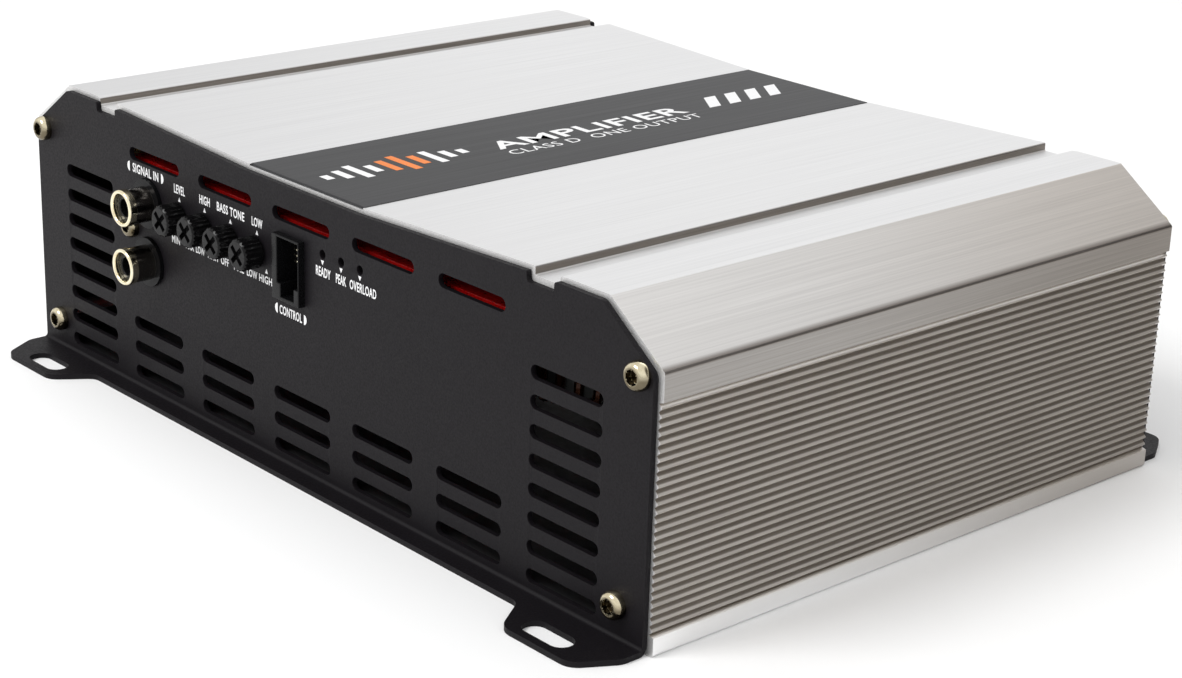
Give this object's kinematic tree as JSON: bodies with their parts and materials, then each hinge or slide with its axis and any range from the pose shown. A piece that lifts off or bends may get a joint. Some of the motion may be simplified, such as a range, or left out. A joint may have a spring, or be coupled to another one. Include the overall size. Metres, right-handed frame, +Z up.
{
  "type": "car amplifier",
  "caption": "Compact car amplifier: ribbed aluminium heatsink body, black vented end panels with slotted mounting ears, knobs, phono jacks and rear terminals.",
  "frame": {"origin": "under the middle of the whole object, on the plane that the ears are screwed to", "axes": "+X to the right along the front panel, +Y from the front panel to the rear panel, +Z up"},
  "size_m": [0.212, 0.1754, 0.065],
  "materials": {
    "silver_anodise": "satin anodised",
    "black_powder": "fine textured powder coat",
    "grey_label": "smooth printed foil",
    "gold_screw": "polished nickel-gold plate",
    "gold_contact": "polished gold plate",
    "black_plastic": "fine moulded grain",
    "knob_plastic": "moulded, semi-matt",
    "control_plastic": "moulded",
    "red_lens": "clear-tinted, unlit",
    "red_board": "solder mask",
    "steel": "zinc plated",
    "brass_hex": "turned",
    "ferrite": "painted ferrite",
    "iron_powder": "painted iron powder",
    "copper": "enamelled copper wire",
    "can_sleeve": "shrink sleeve",
    "film_case": "dipped",
    "chip_black": "moulded epoxy",
    "pad_pink": "soft silicone",
    "black_steel": "thin black paint",
    "fuse_amber": "clear-tinted"
  },
  "bodies": {
    "chassis": {"heatsink_body": "silver_anodise", "bottom_cover": "black_steel", "label_plate": "grey_label", "front_panel": "black_powder", "front_panel_screws": "gold_screw", "rear_panel": "black_powder", "rear_panel_screws": "gold_screw", "gain_control": "control_plastic", "high_pass_control": "control_plastic", "bass_boost_control": "control_plastic", "low_pass_control": "control_plastic", "rca_jack_housing": "black_plastic", "rca_shells": "gold_contact", "rca_insulators": "black_plastic", "rca_centre_contacts": "gold_contact", "rca_jack_screw": "gold_screw", "remote_jack": "black_plastic", "remote_jack_contacts": "gold_contact", "status_leds": "red_lens", "main_board": "red_board", "board_standoffs": "brass_hex", "board_screws": "steel", "transformer_core": "ferrite", "transformer_winding": "copper", "output_choke_cores": "iron_powder", "output_choke_windings": "copper", "power_capacitors": "can_sleeve", "film_capacitors": "film_case", "preamp_chips": "chip_black", "left_transistors": "chip_black", "right_transistors": "chip_black", "thermal_pads": "pad_pink", "left_clamp_bar": "steel", "right_clamp_bar": "steel", "clamp_screws": "steel", "power_terminal_block": "black_plastic", "power_terminal_clamps": "gold_contact", "power_terminal_screws": "steel", "speaker_terminal_block": "black_plastic", "speaker_terminal_clamps": "gold_contact", "speaker_terminal_screws": "steel", "fuse_holder": "black_plastic", "fuses": "fuse_amber"},
    "gain_knob_body": {"gain_knob": "knob_plastic"},
    "high_pass_knob_body": {"high_pass_knob": "knob_plastic"},
    "bass_boost_knob_body": {"bass_boost_knob": "knob_plastic"},
    "low_pass_knob_body": {"low_pass_knob": "knob_plastic"}
  },
  "joints": [
    {"name": "gain_turn", "type": "hinge", "parent": "chassis", "child": "gain_knob_body", "pos_m": [-0.0451, -0.07945, 0.0453], "axis": [0, 1, 0], "range_deg": [-140, 140]},
    {"name": "high_pass_turn", "type": "hinge", "parent": "chassis", "child": "high_pass_knob_body", "pos_m": [-0.03533, -0.07945, 0.0453], "axis": [0, 1, 0], "range_deg": [-140, 140]},
    {"name": "bass_boost_turn", "type": "hinge", "parent": "chassis", "child": "bass_boost_knob_body", "pos_m": [-0.02556, -0.07945, 0.0453], "axis": [0, 1, 0], "range_deg": [-140, 140]},
    {"name": "low_pass_turn", "type": "hinge", "parent": "chassis", "child": "low_pass_knob_body", "pos_m": [-0.01579, -0.07945, 0.0453], "axis": [0, 1, 0], "range_deg": [-140, 140]}
  ]
}
